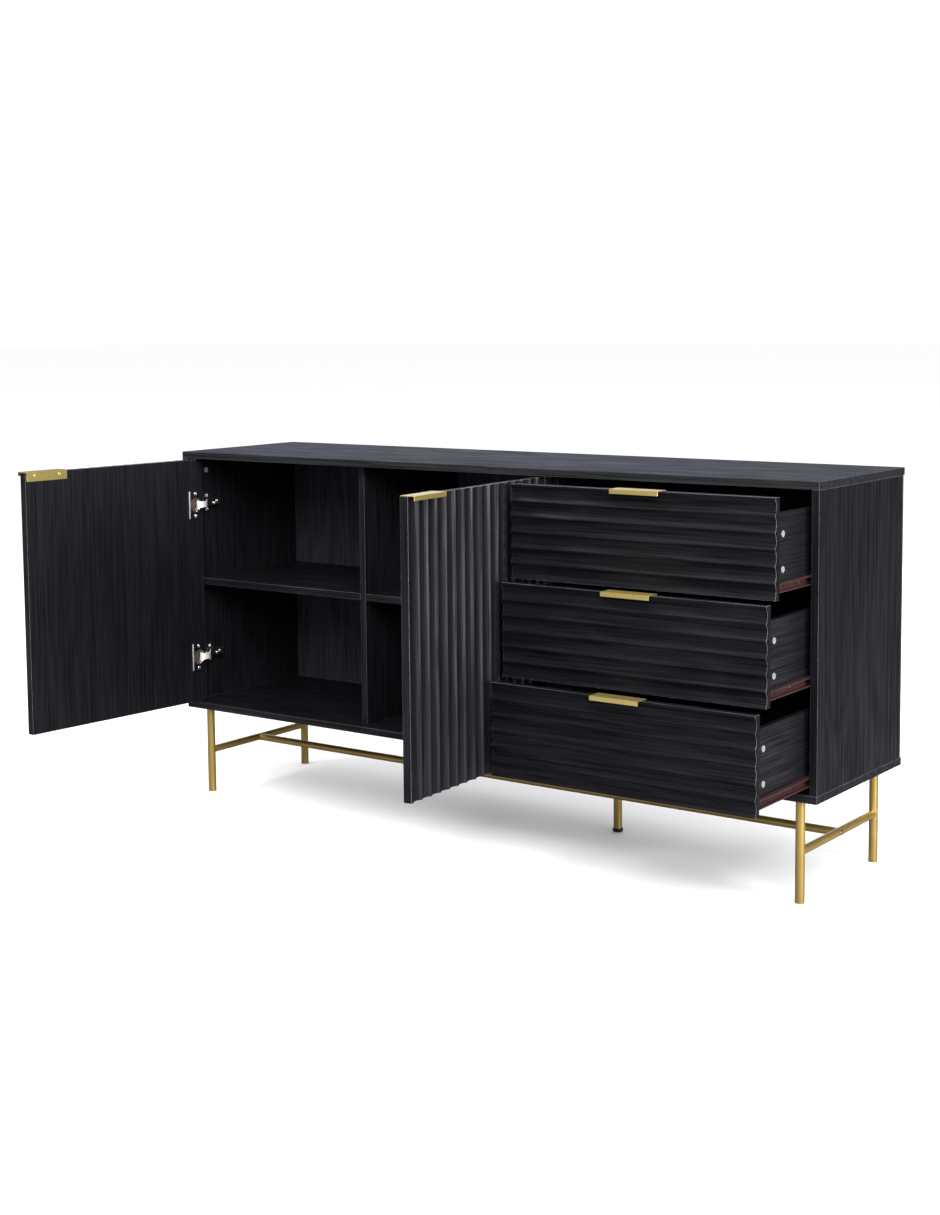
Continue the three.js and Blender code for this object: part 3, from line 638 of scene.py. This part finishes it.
carriers = {"left": (side_high.x, 1), "right": (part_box("partition_drawers")[0].x, -1)}
case_front = side_low.y
for hand, (board_x, side) in carriers.items():
    for level in ("upper", "lower"):
        for part in ("cup", "arm"):
            hinge_part = cad_nodes[f"hinge_{part}_{hand}_{level}"]
            dress(hinge_part, nickel_plate)
            soften(hinge_part, HINGE_EDGE, segments=3)
        low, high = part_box(f"hinge_arm_{hand}_{level}")
        middle_z = (low.z + high.z) / 2
        screw_places = [(board_x + side * off, case_front + behind, middle_z + rise)
                        for off, behind, rise in ARM_SCREWS + WING_SCREWS]
        screws = [turned_shell(SCREW_PROFILE, place, (side, 0, 0), cross=SCREW_CROSS, sides=SCREW_SIDES)
                  for place in screw_places]
        piece_of(f"arm_screws_{hand}_{level}", screws, nickel_plate, "case")
        screw_places = [door_place(hand, CUP_AXIS_ALONG, CUP_FACE, middle_z + step)
                        for step in (-CUP_SCREW_SPREAD, CUP_SCREW_SPREAD)]
        screws = [turned_shell(SCREW_PROFILE, place, door_way(hand, inward=1.0),
                               cross=SCREW_CROSS, sides=SCREW_SIDES) for place in screw_places]
        piece_of(f"cup_screws_{hand}_{level}", screws, nickel_plate, f"door_{hand}")
        lip = turned_shell(LIP_PROFILE, door_place(hand, LIP_ALONG, LIP_INWARD, middle_z), (0, 0, 1),
                           outline=oval(*LIP_SECTION))
        piece_of(f"flange_lip_{hand}_{level}", [lip], rolled_zinc, f"door_{hand}")
        damper = turned_shell(
            DAMPER_PROFILE, door_place(hand, CUP_AXIS_ALONG, 0.0, middle_z), door_way(hand, inward=1.0),
            outline=lambda turn: DAMPER_CUT / np.maximum(-side * np.cos(turn), DAMPER_CUT),
            sides=DAMPER_SIDES)
        piece_of(f"hinge_damper_{hand}_{level}", [damper], damper_nylon, f"door_{hand}")
        link = piece_of(f"hinge_link_{hand}_{level}", [link_shell(board_x, side, case_front, middle_z)],
                        zinc_plate)
        soften(link, LINK_EDGE)
        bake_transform(link)


# ---------------------------------------------------------------- studio
# A pale seamless floor and pale walls. The main soft box stands high at the camera's side, a wide one
# hangs overhead, smaller ones at the right and the left rake the flutes, and a weak cool one behind gives
# the top its sheen.
FLOOR_REACH = 60.0  # m each way, past where the walls' light takes over
floor_mesh = bpy.data.meshes.new("studio_floor")
floor_corners = [(x * FLOOR_REACH, y * FLOOR_REACH, 0.0) for x, y in ((-1, -1), (1, -1), (1, 1), (-1, 1))]
floor_mesh.from_pydata(floor_corners, [], [(0, 1, 2, 3)])
studio_floor = bpy.data.objects.new("studio_floor", floor_mesh)
bpy.context.scene.collection.objects.link(studio_floor)
floor_paint, floor_shader = blank_material("studio_paint_matt")
# Only the camera sees the floor this pale: the light it throws back onto the piece is a grey one's.
FLOOR_SEEN = "#f8f8f8"
FLOOR_FELT = "#7c7c80"
floor_rays = add_node(floor_paint, "ShaderNodeLightPath")
floor_tone = add_node(floor_paint, "ShaderNodeMix", {"data_type": "RGBA"},
                      {0: floor_rays.outputs["Is Camera Ray"],
                       6: colour(FLOOR_FELT), 7: colour(FLOOR_SEEN)})
floor_paint.node_tree.links.new(floor_tone.outputs[2], floor_shader.inputs["Base Color"])
floor_shader.inputs["Roughness"].default_value = 0.9
floor_shader.inputs["Specular IOR Level"].default_value = 0.0
dress(studio_floor, floor_paint)


def soft_box(name, place, aim, width, height, power, tint="#ffffff"):
    """A rectangular area lamp of that size in metres and power in watts, pointed from place at aim. It
    lights and is reflected, but isn't itself in the picture."""
    data = bpy.data.lights.new(name, "AREA")
    data.shape = "RECTANGLE"
    data.size, data.size_y, data.energy = width, height, power
    data.color = colour(tint)[:3]
    lamp = bpy.data.objects.new(name, data)
    bpy.context.scene.collection.objects.link(lamp)
    lamp.location = place
    lamp.rotation_mode = "QUATERNION"
    lamp.rotation_quaternion = (Vector(aim) - Vector(place)).to_track_quat("-Z", "Y")
    lamp.visible_camera = False


soft_box("soft_box_main", (3.2, -3.6, 3.5), (-0.2, 0.1, 0.5), 3.2, 3.2, 480)
soft_box("soft_box_overhead", (0.5, -0.6, 3.2), (0.5, 0.1, 0.4), 2.6, 2.5, 62)
soft_box("soft_box_right", (4.5, -0.5, 1.1), (0.2, -0.2, 0.5), 1.2, 1.6, 170)
soft_box("soft_box_left", (-2.2, -1.7, 2.6), (0.4, -0.1, 0.6), 0.8, 0.8, 30)
soft_box("soft_box_behind", (-2.3, 3.9, 1.1), (0.0, 0.2, 0.8), 3.9, 1.5, 34, "#dfe8ff")

# Reflections see the walls dimmer and slightly cool, and darkest behind on the right, where a dark curtain
# keeps the side panel black.
CURTAIN_WAY = (0.41, 0.91, 0.0)
CURTAIN_EDGES = (0.72, 0.97)  # cosines from its middle, where it begins and where it is full
WALLS_REFLECTED = 0.26
CURTAIN_REFLECTED = 0.08
WALLS_SEEN = 1.15
world = bpy.data.worlds.new("studio_walls")
bpy.context.scene.world = world
world.use_nodes = True
world.node_tree.nodes.clear()
rays = add_node(world, "ShaderNodeLightPath")
seen_or_diffuse = add_node(world, "ShaderNodeMath", {"operation": "MAXIMUM"},
                           {0: rays.outputs["Is Camera Ray"], 1: rays.outputs["Is Diffuse Ray"]})
facing = add_node(world, "ShaderNodeTexCoord").outputs["Generated"]
to_curtain = add_node(world, "ShaderNodeVectorMath", {"operation": "DOT_PRODUCT"},
                      {0: facing, 1: CURTAIN_WAY})
reflected = add_node(world, "ShaderNodeMapRange", {},
                     {"Value": to_curtain.outputs["Value"],
                      "From Min": CURTAIN_EDGES[0], "From Max": CURTAIN_EDGES[1],
                      "To Min": WALLS_REFLECTED, "To Max": CURTAIN_REFLECTED})
wall_light = add_node(world, "ShaderNodeMapRange", {},
                      {"Value": seen_or_diffuse.outputs[0],
                       "To Min": reflected.outputs[0], "To Max": WALLS_SEEN})
wall_tint = add_node(world, "ShaderNodeMix", {"data_type": "RGBA"},
                     {0: seen_or_diffuse.outputs[0], 6: colour("#dfe6ff"), 7: colour("#ffffff")})
walls = add_node(world, "ShaderNodeBackground", {}, {"Color": wall_tint.outputs[2],
                                                     "Strength": wall_light.outputs[0]})
add_node(world, "ShaderNodeOutputWorld", sockets={"Surface": walls.outputs[0]})
bpy.context.scene.view_settings.view_transform = "Standard"
